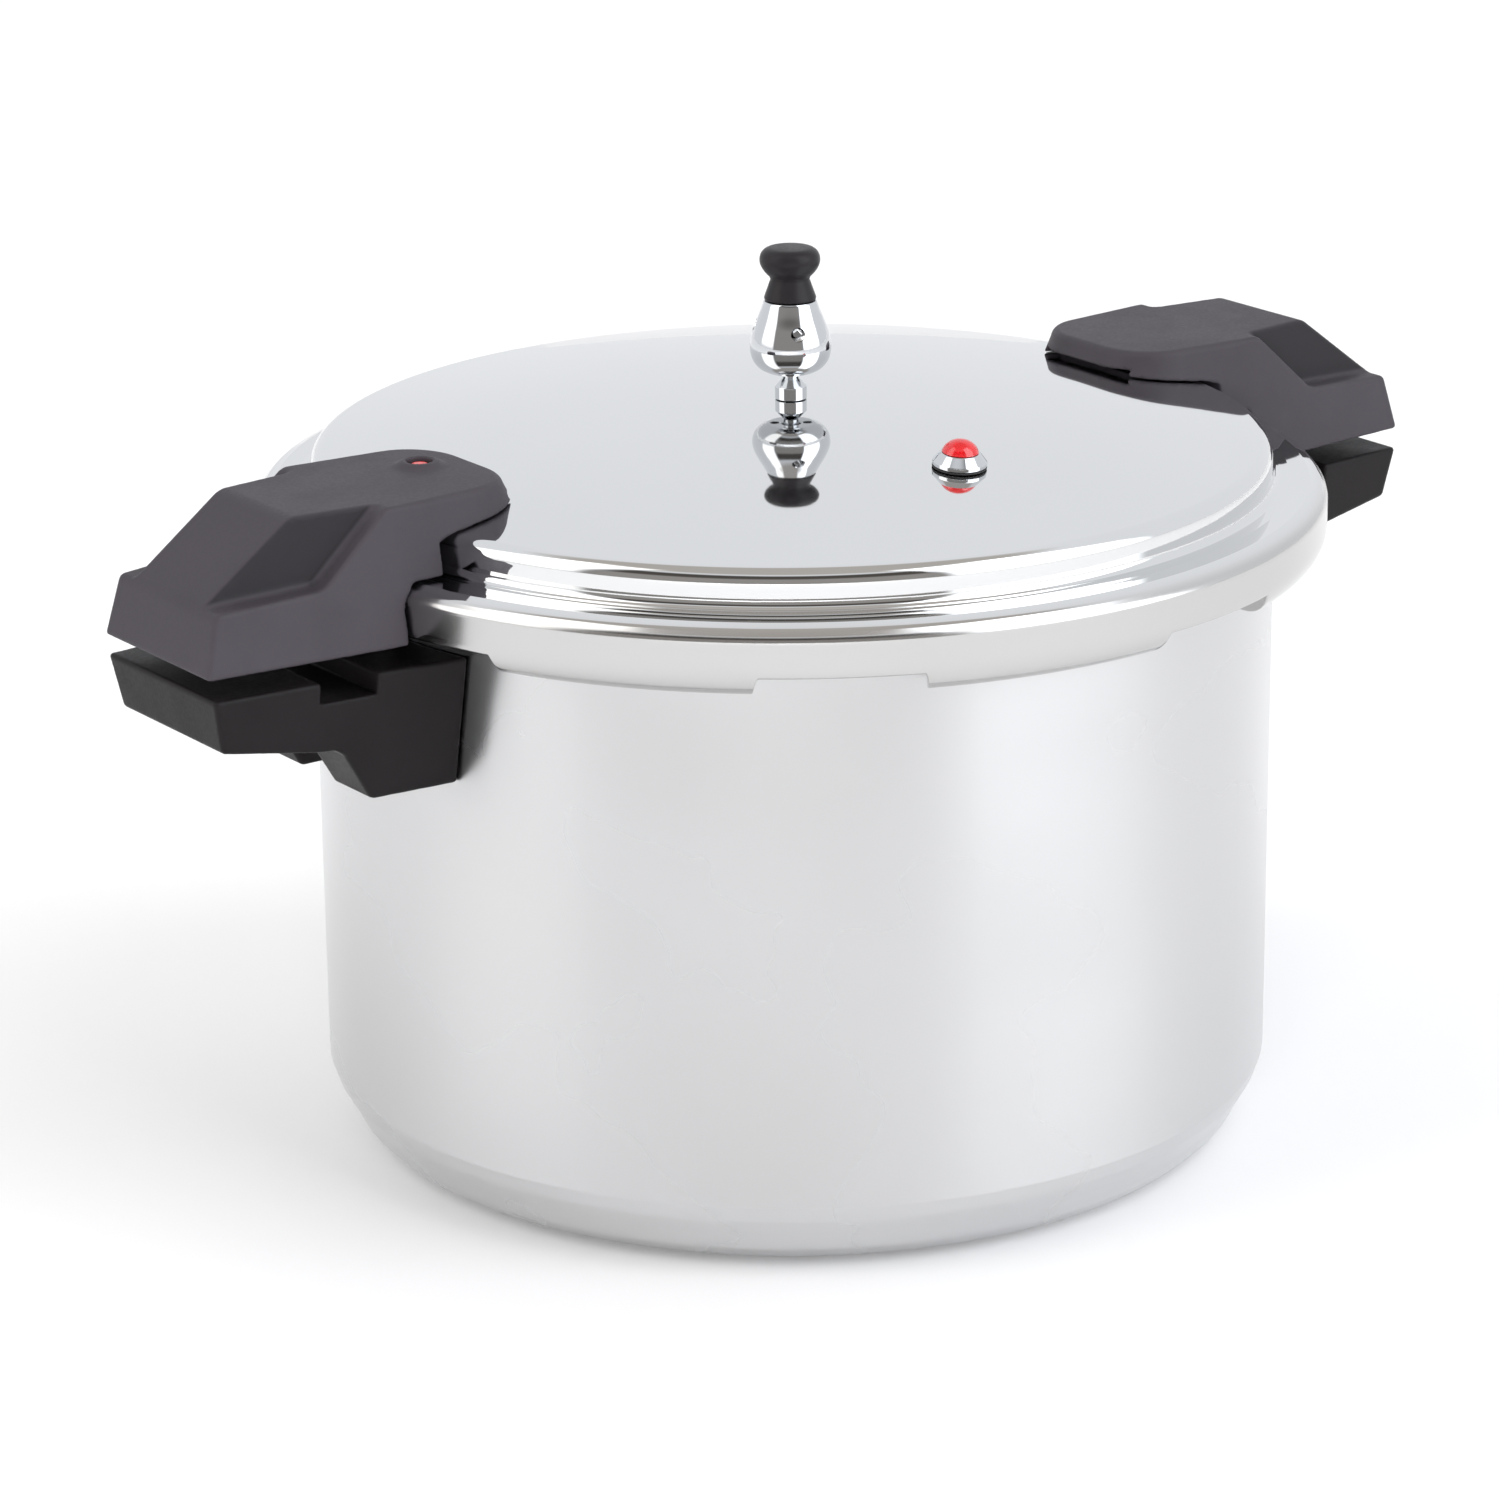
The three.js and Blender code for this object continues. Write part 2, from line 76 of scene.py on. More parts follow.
CROWN = 12.2
CROWN_R = 152.0
LID_TOP = box_mm("lid_shell")[1][2] - CROWN
LUG_BOTTOM = box_mm("lid_shell")[0][2] + 0.7
SKIRT_R = box_mm("lid_shell")[1][1]
POT_RIM = box_mm("pot_shell")[1][2]
WALL_R = 158.0
WALL = 3.0
FOOT_R = 138.6
POT_LUG_R = 167.8
LUG_COUNT = 8
FIRST_LUG = -144.0
LID_LUG_WIDTH = 27.0
POT_LUG_WIDTH = 14.0
LEDGE = 218.3
LID_WALL_R = 157.3
SKIRT_BOTTOM = 203.2

UPPER_TOP = box_mm("lid_handle_right")[1][2]
UPPER_BOTTOM = box_mm("lid_handle_right")[0][2]
UPPER_TIP = box_mm("lid_handle_right")[1][0]
LOWER_TOP = box_mm("body_handle_right")[1][2]
LOWER_BOTTOM = box_mm("body_handle_right")[0][2]
LOWER_TIP = box_mm("body_handle_right")[1][0]

RELIEF_R = 89.0
PIN = axis_of("lock_pin")

# How the handles' sides taper. The upper handles' panels lie against a core, given at their inner edge.
PANEL_INNER_X = 175.6
CORE_HALF_WIDTH = 24.4
CORE_FLARE = 0.115
SIDE_FLARE = 0.085
DRAFT = 0.14


def crown_at(radius):
    """The height of the domed lid's upper face."""
    return LID_TOP + CROWN * np.maximum(0, 1 - (radius / CROWN_R) ** 2)


def crown(start, end, count, below=0.0):
    """Points on the lid's upper face, or that far below it, from one radius to another."""
    return [(r, float(crown_at(r)) - below) for r in np.linspace(start, end, count)]


NODE_BODY = {
    node: body
    for body, nodes in frame["record"]["behaviour"]["bodies"].items()
    for node in nodes
}

# ---------------------------------------------------------------- materials


class Look:
    """A node material round one Principled shader."""

    def __init__(self, name, color, roughness, metallic=0.0, **sockets):
        self.material = bpy.data.materials.new(name)
        self.material.use_nodes = True
        self.nodes = self.material.node_tree.nodes
        self.links = self.material.node_tree.links
        self.shader = self.nodes["Principled BSDF"]
        self.set(self.shader, "Base Color", (*color, 1))
        self.set(self.shader, "Roughness", roughness)
        self.set(self.shader, "Metallic", metallic)
        for socket, value in sockets.items():
            self.set(self.shader, socket.replace("_", " "), value)
        self.place = self.node("ShaderNodeTexCoord").outputs["Object"]

    def set(self, node, socket, value):
        if isinstance(value, bpy.types.NodeSocket):
            self.links.new(value, node.inputs[socket])
        else:
            node.inputs[socket].default_value = value

    def node(self, kind, settings=None, **sockets):
        made = self.nodes.new(kind)
        for name, value in (settings or {}).items():
            setattr(made, name, value)
        for name, value in sockets.items():
            self.set(made, int(name[1:]) if name[0] == "_" else name.replace("_", " "), value)
        return made

    def math(self, operation, a, b=0.0):
        return self.node("ShaderNodeMath", {"operation": operation}, _0=a, _1=b).outputs[0]

    def noise(self, scale, detail=3.0, roughness=0.55, vector=None):
        made = self.node("ShaderNodeTexNoise", Scale=scale, Detail=detail, Roughness=roughness)
        self.set(made, "Vector", vector or self.place)
        return made.outputs["Fac"]

    def stretched(self, scale):
        made = self.node("ShaderNodeMapping", Vector=self.place)
        made.inputs["Scale"].default_value = scale
        return made.outputs["Vector"]

    def ramp(self, value, low, high, from_low=0.3, from_high=0.7):
        """A number between low and high that follows value between from_low and from_high."""
        made = self.node("ShaderNodeMapRange", {"interpolation_type": "SMOOTHSTEP"}, Value=value)
        numbers = {"From Min": from_low, "From Max": from_high, "To Min": low, "To Max": high}
        for socket, number in numbers.items():
            made.inputs[socket].default_value = number
        return made.outputs["Result"]

    def blend(self, factor, low, high):
        made = self.node("ShaderNodeMix", {"data_type": "RGBA"})
        self.set(made, 0, factor)
        made.inputs[6].default_value = (*low, 1)
        made.inputs[7].default_value = (*high, 1)
        return made.outputs[2]

    def bump(self, height, strength, distance, under=None):
        made = self.node("ShaderNodeBump", Height=height, Strength=strength, Distance=distance)
        if under is not None:
            self.set(made, "Normal", under)
        return made.outputs["Normal"]

    def paint(self, **sockets):
        for socket, value in sockets.items():
            self.set(self.shader, socket.replace("_", " "), value)
        return self.material


def radius_from(look, centre=(0, 0)):
    """The distance from a vertical axis, for turning marks."""
    parts = look.node("ShaderNodeSeparateXYZ", Vector=look.place)
    x = look.math("SUBTRACT", parts.outputs[0], centre[0] * MM)
    y = look.math("SUBTRACT", parts.outputs[1], centre[1] * MM)
    across = look.math("ADD", look.math("MULTIPLY", x, x), look.math("MULTIPLY", y, y))
    return look.math("SQRT", across), parts.outputs[2]


def rings(look, radius, height, scale):
    """Fine rings round the axis: noise that changes only with radius and height."""
    vector = look.node("ShaderNodeCombineXYZ", X=radius, Y=height)
    return look.noise(scale, 4.0, 0.6, vector.outputs[0])


def polished_aluminium():
    look = Look("polished_aluminium", (0.79, 0.79, 0.795), 0.06, 1.0)
    radius, height = radius_from(look)
    haze = look.noise(9.0, 4.0)
    marks = rings(look, radius, height, 420.0)
    skirt = look.ramp(height, 1.0, 0.0, 0.2150, 0.2182)
    top = look.blend(haze, (0.735, 0.74, 0.745), (0.775, 0.78, 0.78))
    side = look.blend(haze, (0.56, 0.555, 0.55), (0.61, 0.605, 0.60))
    color = look.node("ShaderNodeMix", {"data_type": "RGBA"}, _0=skirt, _6=top, _7=side).outputs[2]
    roughness = look.math("ADD", look.ramp(haze, 0.02, 0.05), look.math("MULTIPLY", skirt, 0.14))
    normal = look.bump(marks, 0.05, 0.00003)
    normal = look.bump(look.noise(30.0, 2.0), 0.02, 0.0004, normal)
    return look.paint(Base_Color=color, Roughness=roughness, Normal=normal)


def satin_aluminium():
    look = Look("satin_aluminium", (0.76, 0.76, 0.765), 0.3, 1.0)
    radius, height = radius_from(look)
    cloud = look.noise(7.0, 2.0, 0.5, look.stretched((1.0, 1.0, 1.6)))
    marks = rings(look, radius, height, 420.0)
    scuffs = look.noise(45.0, 1.0, 0.5)
    color = look.blend(cloud, (0.615, 0.617, 0.625), (0.66, 0.66, 0.662))
    roughness = look.math("ADD", look.ramp(cloud, 0.25, 0.31), look.ramp(scuffs, -0.003, 0.003))
    normal = look.bump(marks, 0.07, 0.00003)
    turning = look.node("ShaderNodeTangent", {"direction_type": "RADIAL", "axis": "Z"}).outputs["Tangent"]
    look.paint(Anisotropic=0.75, Anisotropic_Rotation=0.25, Tangent=turning)
    return look.paint(Base_Color=color, Roughness=roughness, Normal=normal)


def mill_aluminium():
    look = Look("mill_aluminium", (0.74, 0.745, 0.755), 0.35, 1.0)
    grain = look.noise(420.0, 3.0, 0.6, look.stretched((0.08, 1.0, 1.0)))
    color = look.blend(grain, (0.68, 0.685, 0.70), (0.78, 0.785, 0.79))
    normal = look.bump(grain, 0.15, 0.00004)
    return look.paint(Base_Color=color, Roughness=look.ramp(grain, 0.28, 0.42), Normal=normal)


def chrome():
    look = Look("chrome", (0.66, 0.675, 0.695), 0.03, 1.0)
    dust = look.noise(340.0, 3.0)
    normal = look.bump(look.noise(60.0, 2.0), 0.02, 0.0002)
    return look.paint(Roughness=look.ramp(dust, 0.02, 0.06), Normal=normal)


def zinc_steel():
    look = Look("zinc_steel", (0.60, 0.60, 0.61), 0.35, 1.0)
    spangle = look.noise(500.0, 3.0)
    color = look.blend(spangle, (0.52, 0.53, 0.55), (0.68, 0.675, 0.66))
    normal = look.bump(spangle, 0.1, 0.00004)
    return look.paint(Base_Color=color, Roughness=look.ramp(spangle, 0.25, 0.45), Normal=normal)


def recessed(look):
    """1 in the recessed side panels of the upper handles, 0 elsewhere: where painted shade darkens them."""
    parts = look.node("ShaderNodeSeparateXYZ", Vector=look.place)
    x, y = (look.math("ABSOLUTE", parts.outputs[i]) for i in (0, 1))

    def beyond(across, weight_x, weight_z, offset):
        """How far a point lies past a slanted plane, in millimetres, as a number from 0 to 1."""
        along = look.math("MULTIPLY", x, weight_x / MM)
        up = look.math("MULTIPLY", parts.outputs[2], weight_z / MM)
        past = look.math("ADD", look.math("ADD", along, up), look.math("ADD", across, -offset))
        return look.ramp(past, 0.0, 1.0, -0.6, 0.8)

    inner = beyond(0.0, 0.673, 0.739, 0.673 * (PANEL_INNER_X + 1.6) + 0.739 * UPPER_TOP)
    ledge = beyond(0.0, 0.053, 0.9986, 0.053 * 240 + 0.9986 * 220.6)
    half_width = CORE_HALF_WIDTH + CORE_FLARE * PANEL_INNER_X + DRAFT * UPPER_TOP
    side = beyond(look.math("MULTIPLY", y, 1 / MM), CORE_FLARE, DRAFT, half_width - 0.3)
    return look.math("MULTIPLY", look.math("MULTIPLY", inner, ledge), side)


def phenolic(name, dark, light, roughness, panels=0.0):
    """Moulded phenolic: a fine grain, flow marks and painted shade in the creases; panels sets how strongly
    painted shade darkens the recessed side panels.
    """
    look = Look(name, dark, roughness, 0.0, Specular_IOR_Level=0.14)
    grain = look.noise(2600.0, 2.0, 0.6)
    pits = look.noise(900.0, 2.0, 0.5)
    flow = look.noise(38.0, 4.0, 0.6)
    # painted shade: the colour goes towards near black in creases, found from the mesh's pointiness
    painted_shade = look.ramp(look.node("ShaderNodeNewGeometry").outputs["Pointiness"], 0.7, 0.0, 0.44, 0.495)
    color = look.blend(look.math("MULTIPLY", flow, 0.9), dark, light)
    rough = look.ramp(flow, roughness - 0.05, roughness + 0.05)
    rough = look.math("ADD", rough, look.ramp(pits, -0.03, 0.03))
    # painted shade in the recessed side panels, which also get a smoother finish there
    if panels:
        painted_recess_shade = look.math("MULTIPLY", recessed(look), panels)
        painted_shade = look.math("MAXIMUM", painted_shade, painted_recess_shade)
        rough = look.math("SUBTRACT", rough, look.math("MULTIPLY", painted_recess_shade, 0.12))
    # the painted shade's colour: near black, mixed in by the crease and recess masks
    shade = look.node("ShaderNodeMix", {"data_type": "RGBA"}, _0=painted_shade, _6=color)
    shade.inputs[7].default_value = (*(0.12 * level for level in dark), 1)
    color = shade.outputs[2]
    normal = look.bump(pits, 0.10, 0.00008)
    normal = look.bump(grain, 0.16, 0.00004, normal)
    return look.paint(Base_Color=color, Roughness=rough, Normal=normal)


def black_rubber():
    look = Look("black_rubber", (0.02, 0.02, 0.021), 0.6, 0.0, Specular_IOR_Level=0.4)
    bloom = look.noise(120.0, 4.0)
    color = look.blend(bloom, (0.014, 0.014, 0.015), (0.034, 0.034, 0.036))
    normal = look.bump(bloom, 0.1, 0.0001)
    return look.paint(Base_Color=color, Roughness=look.ramp(bloom, 0.5, 0.7), Normal=normal)


def red_rubber():
    look = Look("red_rubber", (0.62, 0.008, 0.014), 0.12, 0.0, Subsurface_Weight=0.35, Coat_Weight=0.6)
    look.shader.inputs["Subsurface Radius"].default_value = (0.004, 0.0008, 0.0008)
    look.shader.inputs["Coat Roughness"].default_value = 0.06
    depth = look.noise(420.0, 2.0)
    color = look.blend(depth, (0.46, 0.004, 0.008), (0.74, 0.016, 0.02))
    normal = look.bump(depth, 0.05, 0.0001)
    return look.paint(Base_Color=color, Roughness=look.ramp(depth, 0.1, 0.22), Normal=normal)


def red_plastic():
    look = Look("red_plastic", (0.55, 0.03, 0.03), 0.2, 0.0, Coat_Weight=0.4)
    depth = look.noise(700.0, 2.0)
    color = look.blend(depth, (0.64, 0.02, 0.024), (0.80, 0.05, 0.05))
    normal = look.bump(depth, 0.05, 0.00008)
    return look.paint(Base_Color=color, Roughness=look.ramp(depth, 0.15, 0.26), Normal=normal)


CHARCOAL = (0.043, 0.038, 0.045), (0.068, 0.061, 0.071)
BLACK = (0.007, 0.006, 0.0065), (0.015, 0.013, 0.014)
KNOB_BLACK = (0.014, 0.012, 0.014), (0.028, 0.026, 0.028)

LOOKS = {
    "satin_aluminium": satin_aluminium(),
    "polished_aluminium": polished_aluminium(),
    "rack_aluminium": mill_aluminium(),
    # 0.95: the strength of the painted shade in the handles' recessed side panels
    "charcoal_phenolic": phenolic("charcoal_phenolic", *CHARCOAL, 0.50, 0.95),
    "black_phenolic": phenolic("black_phenolic", *BLACK, 0.44),
    "knob_phenolic": phenolic("knob_phenolic", *KNOB_BLACK, 0.36),
    "chrome": chrome(),
    "steel": zinc_steel(),
    "black_rubber": black_rubber(),
    "red_rubber": red_rubber(),
    "red_plastic": red_plastic(),
}

# ---------------------------------------------------------------- mesh making


def piece(name, vertices, faces, node, slot, sharp=35.0, weighted=True):
    """A smooth-shaded mesh from points in millimetres, riding on the CAD node's body in its stead."""
    data = bpy.data.meshes.new(name)
    data.from_pydata((np.asarray(vertices, float) * MM).tolist(), [], faces)
    obj = bpy.data.objects.new(name, data)
    bpy.context.scene.collection.objects.link(obj)
    data.polygons.foreach_set("use_smooth", [True] * len(data.polygons))
    data.set_sharp_from_angle(angle=math.radians(sharp))
    data.materials.append(LOOKS[slot])
    if weighted:
        modifier = obj.modifiers.new("weighted_normals", "WEIGHTED_NORMAL")
        modifier.keep_sharp = True
    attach(obj, NODE_BODY[node])
    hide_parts(node)
    return obj


def arc(centre, radius, start, end, steps, tall=None):
    """Points on an arc, or on an ellipse with another vertical radius, with angles in degrees."""
    angles = np.radians(np.linspace(start, end, steps + 1))
    tall = radius if tall is None else tall
    return [(centre[0] + radius * math.cos(a), centre[1] + tall * math.sin(a)) for a in angles]


def curve(points, steps):
    """A smooth curve through the points, with steps pieces between each pair."""
    p = np.array([points[0], *points, points[-1]], float)
    t = np.linspace(0, 1, steps, endpoint=False)[:, None]
    out = []
    for i in range(1, len(p) - 2):
        a, b, c, d = p[i - 1 : i + 3]
        square = 2 * a - 5 * b + 4 * c - d
        cube = 3 * b - a - 3 * c + d
        out.extend(0.5 * (2 * b + (c - a) * t + square * t**2 + cube * t**3))
    return [tuple(q) for q in out] + [tuple(p[-1])]


def rounded(points, steps=5, closed=True):
    """A profile whose corners (x, z, radius) are rounded; each arc has a support point just outside it."""
    out = []
    count = len(points)
    for i, (x, z, *rest) in enumerate(points):
        here = np.array((x, z), float)
        radius = rest[0] if rest else 0.0
        if radius == 0 or (not closed and i in (0, count - 1)):
            out.append(tuple(here))
            continue
        before = np.array(points[i - 1][:2], float) - here
        after = np.array(points[(i + 1) % count][:2], float) - here
        room = min(np.linalg.norm(before), np.linalg.norm(after)) * 0.48
        before /= np.linalg.norm(before)
        after /= np.linalg.norm(after)
        half = math.acos(np.clip(before @ after, -1, 1)) / 2
        reach = min(radius / math.tan(half), room)
        radius = reach * math.tan(half)
        centre = here + (before + after) / np.linalg.norm(before + after) * (radius / math.sin(half))
        first, last = here + before * reach, here + after * reach
        turn_from = math.atan2(*(first - centre)[::-1])
        turn = math.atan2(*(last - centre)[::-1]) - turn_from
        turn = (turn + math.pi) % (2 * math.pi) - math.pi
        out.append(tuple(first + before * 0.06 * reach))
        for k in range(steps + 1):
            angle = turn_from + turn * k / steps
            out.append((centre[0] + radius * math.cos(angle), centre[1] + radius * math.sin(angle)))
        out.append(tuple(last + after * 0.06 * reach))
    return out


def ring_faces(around, along, closed):
    """Quads of a grid that closes round its first direction, and round its second if closed."""
    faces = []
    for i in range(around):
        j = (i + 1) % around
        for k in range(along if closed else along - 1):
            m = (k + 1) % along
            faces.append((i * along + k, j * along + k, j * along + m, i * along + m))
    return faces


def turned(profile, segments=96, centre=(0, 0)):
    """Vertices and faces of a profile turned about a vertical axis; its end points may lie on the axis."""
    pole_first, pole_last = profile[0][0] == 0, profile[-1][0] == 0
    body = profile[1 if pole_first else 0 : -1 if pole_last else None]
    closed = not (pole_first or pole_last)
    angles = np.linspace(0, 2 * math.pi, segments, endpoint=False)
    across, along = centre
    vertices = [(across + r * math.cos(a), along + r * math.sin(a), z) for a in angles for r, z in body]
    faces = ring_faces(segments, len(body), closed)
    for on_axis, row, turn in ((pole_first, 0, 1), (pole_last, len(body) - 1, -1)):
        if not on_axis:
            continue
        vertices.append((*centre, profile[0 if turn == 1 else -1][1]))
        pole = len(vertices) - 1
        for i in range(segments):
            corners = (pole, ((i + 1) % segments) * len(body) + row, i * len(body) + row)
            faces.append(corners if turn == 1 else corners[::-1])
    return outward(np.array(vertices), faces)


def outward(vertices, faces):
    """The same surface with its faces turned to the outside."""
    volume = 0.0
    for face in faces:
        a, b, c = vertices[face[0]], vertices[face[1]], vertices[face[2]]
        volume += np.dot(a, np.cross(b, c))
        if len(face) == 4:
            volume += np.dot(a, np.cross(c, vertices[face[3]]))
    return vertices, faces if volume > 0 else [face[::-1] for face in faces]


def cut(obj, vertices, faces):
    """Takes a solid, in millimetres, out of a piece."""
    data = bpy.data.meshes.new("cutter")
    data.from_pydata((np.asarray(vertices) * MM).tolist(), [], faces)
    cutter = bpy.data.objects.new("cutter", data)
    bpy.context.scene.collection.objects.link(cutter)
    modifier = obj.modifiers.new("cut", "BOOLEAN")
    modifier.object = cutter
    modifier.operation = "DIFFERENCE"
    modifier.solver = "EXACT"
    obj.modifiers.move(len(obj.modifiers) - 1, 0)
    bpy.context.view_layer.update()
    graph = bpy.context.evaluated_depsgraph_get()
    kept = [m for m in obj.modifiers if m != modifier]
    shown = [m.show_viewport for m in kept]
    for m in kept:
        m.show_viewport = False
    graph.update()
    result = bpy.data.meshes.new_from_object(obj.evaluated_get(graph), depsgraph=graph)
    for m, visible in zip(kept, shown):
        m.show_viewport = visible
    obj.modifiers.remove(modifier)
    obj.data = result
    bpy.data.objects.remove(cutter)


# ---------------------------------------------------------------- rounded solids from distances


def both(a, b, radius):
    """The overlap of two solids, with the edge between them rounded."""
    if radius == 0:
        return np.maximum(a, b)
    corner = np.sqrt(np.maximum(a + radius, 0) ** 2 + np.maximum(b + radius, 0) ** 2)
    return np.minimum(-radius, np.maximum(a, b)) + corner


def either(a, b, radius):
    """Two solids joined, with a fillet between them."""
    return -both(-a, -b, radius)


def less(a, b, radius):
    """The first solid without the second, with the edge between them rounded."""
    return both(a, -b, radius)


def beside(u, v, start, end):
    """The signed distance from a line; the solid lies to the left, looking from start to end."""
    du, dv = end[0] - start[0], end[1] - start[1]
    return ((u - start[0]) * dv - (v - start[1]) * du) / math.hypot(du, dv)


def convex(u, v, points, radius):
    """A convex outline given anticlockwise."""
    sides = [beside(u, v, a, b) for a, b in zip(points, points[1:] + points[:1])]
    solid = sides[0]
    for side in sides[1:]:
        solid = both(solid, side, radius)
    return solid


def drafted(x, y, z, at, half_width, flare, draft):
    """Between two side planes half_width apart from the middle at the point at, narrowing along x and z."""
    width = half_width - flare * (x - at[0]) - draft * (z - at[1])
    return (np.abs(y) - width) / math.sqrt(1 + flare**2 + draft**2)


def skin(solid, low, high, step):
    """Surface nets: the vertices and quads where the distance is zero, moved onto the surface."""
    axes = [np.arange(a, b + step, step) for a, b in zip(low, high)]
    field = solid(*np.meshgrid(*axes, indexing="ij"))
    _, depth, height = field.shape
    total = np.zeros((field.size, 3))
    count = np.zeros(field.size)
    quads = []
    for axis in range(3):
        b, c = (axis + 1) % 3, (axis + 2) % 3
        near = [slice(None)] * 3
        far = [slice(None)] * 3
        near[axis], far[axis] = slice(None, -1), slice(1, None)
        start, end = field[tuple(near)], field[tuple(far)]
        edges = np.argwhere((start < 0) != (end < 0))
        first, last = start[tuple(edges.T)], end[tuple(edges.T)]
        place = edges.astype(float)
        place[:, axis] += first / (first - last)
        corners = []
        for db, dc in ((1, 1), (0, 1), (0, 0), (1, 0)):
            cells = edges.copy()
            cells[:, b] -= db
            cells[:, c] -= dc
            index = (cells[:, 0] * depth + cells[:, 1]) * height + cells[:, 2]
            np.add.at(total, index, place)
            np.add.at(count, index, 1)
            corners.append(index)
        quad = np.stack(corners, 1)
        quad[first > 0] = quad[first > 0][:, ::-1]
        quads.append(quad)
    quads = np.concatenate(quads)
    used = np.flatnonzero(count)
    number = np.zeros(field.size, int)
    number[used] = np.arange(len(used))
    points = np.array(low) + step * total[used] / count[used][:, None]
    for _ in range(3):
        points -= nearest(solid, points, step)
    return points, number[quads].tolist()


def nearest(solid, points, step):
    """The move that takes each point onto the surface."""
    small = 0.05
    here = solid(*points.T)
    slope = np.empty_like(points)
    for axis in range(3):
        ahead, behind = points.copy(), points.copy()
        ahead[:, axis] += small
        behind[:, axis] -= small
        slope[:, axis] = (solid(*ahead.T) - solid(*behind.T)) / (2 * small)
    move = slope * (here / np.maximum((slope**2).sum(1), 0.25))[:, None]
    return np.clip(move, -step / 3, step / 3)


# ---------------------------------------------------------------- pot


def lug_share(angle, width, ease):
    """1 on a lug, 0 between lugs, and smooth over ease degrees at each end of a lug."""
    pitch = 360 / LUG_COUNT
    off = abs((angle - FIRST_LUG + pitch / 2) % pitch - pitch / 2)
    t = min(max((width / 2 - off) / ease + 0.5, 0), 1)
    return t * t * (3 - 2 * t)


def lug_angles(width, ease, segments):
    """Angles round the axis, closer together at the ends of the lugs."""
    angles = set(np.round(np.linspace(0, 360, segments, endpoint=False), 4))
    for i in range(LUG_COUNT):
        for side in (-1, 1):
            end = FIRST_LUG + i * 360 / LUG_COUNT + side * width / 2
            angles.update(np.round((end + np.linspace(-ease, ease, 15) * 0.5) % 360, 4))
    return sorted(angles)


def lugged(angles, profile):
    """Vertices and faces of a profile that changes with the angle and starts and ends on the axis."""
    rows = [profile(angle) for angle in angles]
    along = len(rows[0]) - 2
    vertices = [
        (r * math.cos(math.radians(a)), r * math.sin(math.radians(a)), z)
        for a, row in zip(angles, rows)
        for r, z in row[1:-1]
    ]
    around = len(angles)
    faces = ring_faces(around, along, False)
    for end, row, turn in ((rows[0][0], 0, 1), (rows[0][-1], along - 1, -1)):
        vertices.append((0, 0, end[1]))
        pole = len(vertices) - 1
        for i in range(around):
            corners = (pole, ((i + 1) % around) * along + row, i * along + row)
            faces.append(corners if turn == 1 else corners[::-1])
    return outward(np.array(vertices), faces)


POT_LUG_Z = (199.2, 203.2)


def pot_profile(angle):
    """The pot's section: flat foot, rounded corner between two faint edges, wall, lug, rim and inside."""
    reach = 0.15 + (POT_LUG_R - WALL_R - 0.15) * lug_share(angle, POT_LUG_WIDTH, 0.9)
    low, high = POT_LUG_Z
    inner = WALL_R - WALL
    outer = rounded(
        [
            (0, 0),
            (60, 0),
            (120, 0),
            (FOOT_R, 0, 3),
            (FOOT_R + 6.6, 2.2, 6),
            (FOOT_R + 11.2, 6.6, 6),
            (WALL_R - 5.2, 12.6, 1.2),
            (WALL_R - 1.7, 18.6, 8),
            (WALL_R, 23.7, 1.6),
            (WALL_R, 60),
            (WALL_R, 120),
            (WALL_R, low - 3),
            (WALL_R, low - 0.9, 0.8),
            (WALL_R + reach, low, min(reach * 0.45, 1.2)),
            (WALL_R + reach, high, min(reach * 0.45, 1.2)),
            (WALL_R, high + 0.9, 0.8),
            (WALL_R, POT_RIM - 7.2),
            (WALL_R + 1.5, POT_RIM - 5.6, 1),
            (WALL_R + 1.5, POT_RIM, 1.3),
            (inner, POT_RIM, 1.3),
            (inner, POT_RIM - 20),
        ],
        4,
        closed=False,
    )
    fillet = arc((inner - 24, 28), 24, 0, -90, 12)
    return outer + fillet + [(60, 4), (0, 4)]


def pot():
    angles = lug_angles(POT_LUG_WIDTH, 0.9, 240)
    vertices, faces = lugged(angles, pot_profile)
    piece("pot_shell_fine", vertices, faces, "pot_shell", "satin_aluminium", sharp=50)


def jar_rack():
    low, high = box_mm("jar_rack")
    radius, sheet = high[0], 1.6
    floor = high[2] - 3
    vertices, faces = turned(
        rounded(
            [
                (0, floor),
                (60, floor),
                (radius - 0.4, floor, 1.4),
                (radius, high[2], 0.5),
                (radius - sheet, high[2], 0.5),
                (radius - sheet, floor + sheet, 1),
                (60, floor + sheet),
                (0, floor + sheet),
            ],
            4,
            closed=False,
        ),
        144,
    )
    rack = piece("jar_rack_fine", vertices, faces, "jar_rack", "rack_aluminium")
    holes = [(11, 0, 0)]
    holes += [(8, 45, i * 60) for i in range(6)]
    holes += [(8, 86, i * 30 + 15) for i in range(12)]
    for size, across, angle in holes:
        centre = (across * math.cos(math.radians(angle)), across * math.sin(math.radians(angle)))
        drill = [(0, floor - 5), (size, floor - 5), (size, floor + 5), (0, floor + 5)]
        cut(rack, *turned(drill, 40, centre))
    for i in range(6):
        angle = math.radians(i * 60)
        profile = rounded(
            [(0, low[2]), (5, low[2], 1.5), (9, floor - 0.02, 1), (0, floor - 0.02)], 4, closed=False
        )
        vertices, faces = turned(profile, 32, (115 * math.cos(angle), 115 * math.sin(angle)))
        piece(f"jar_rack_foot_{i + 1}", vertices, faces, "jar_rack", "rack_aluminium")


# ---------------------------------------------------------------- lid


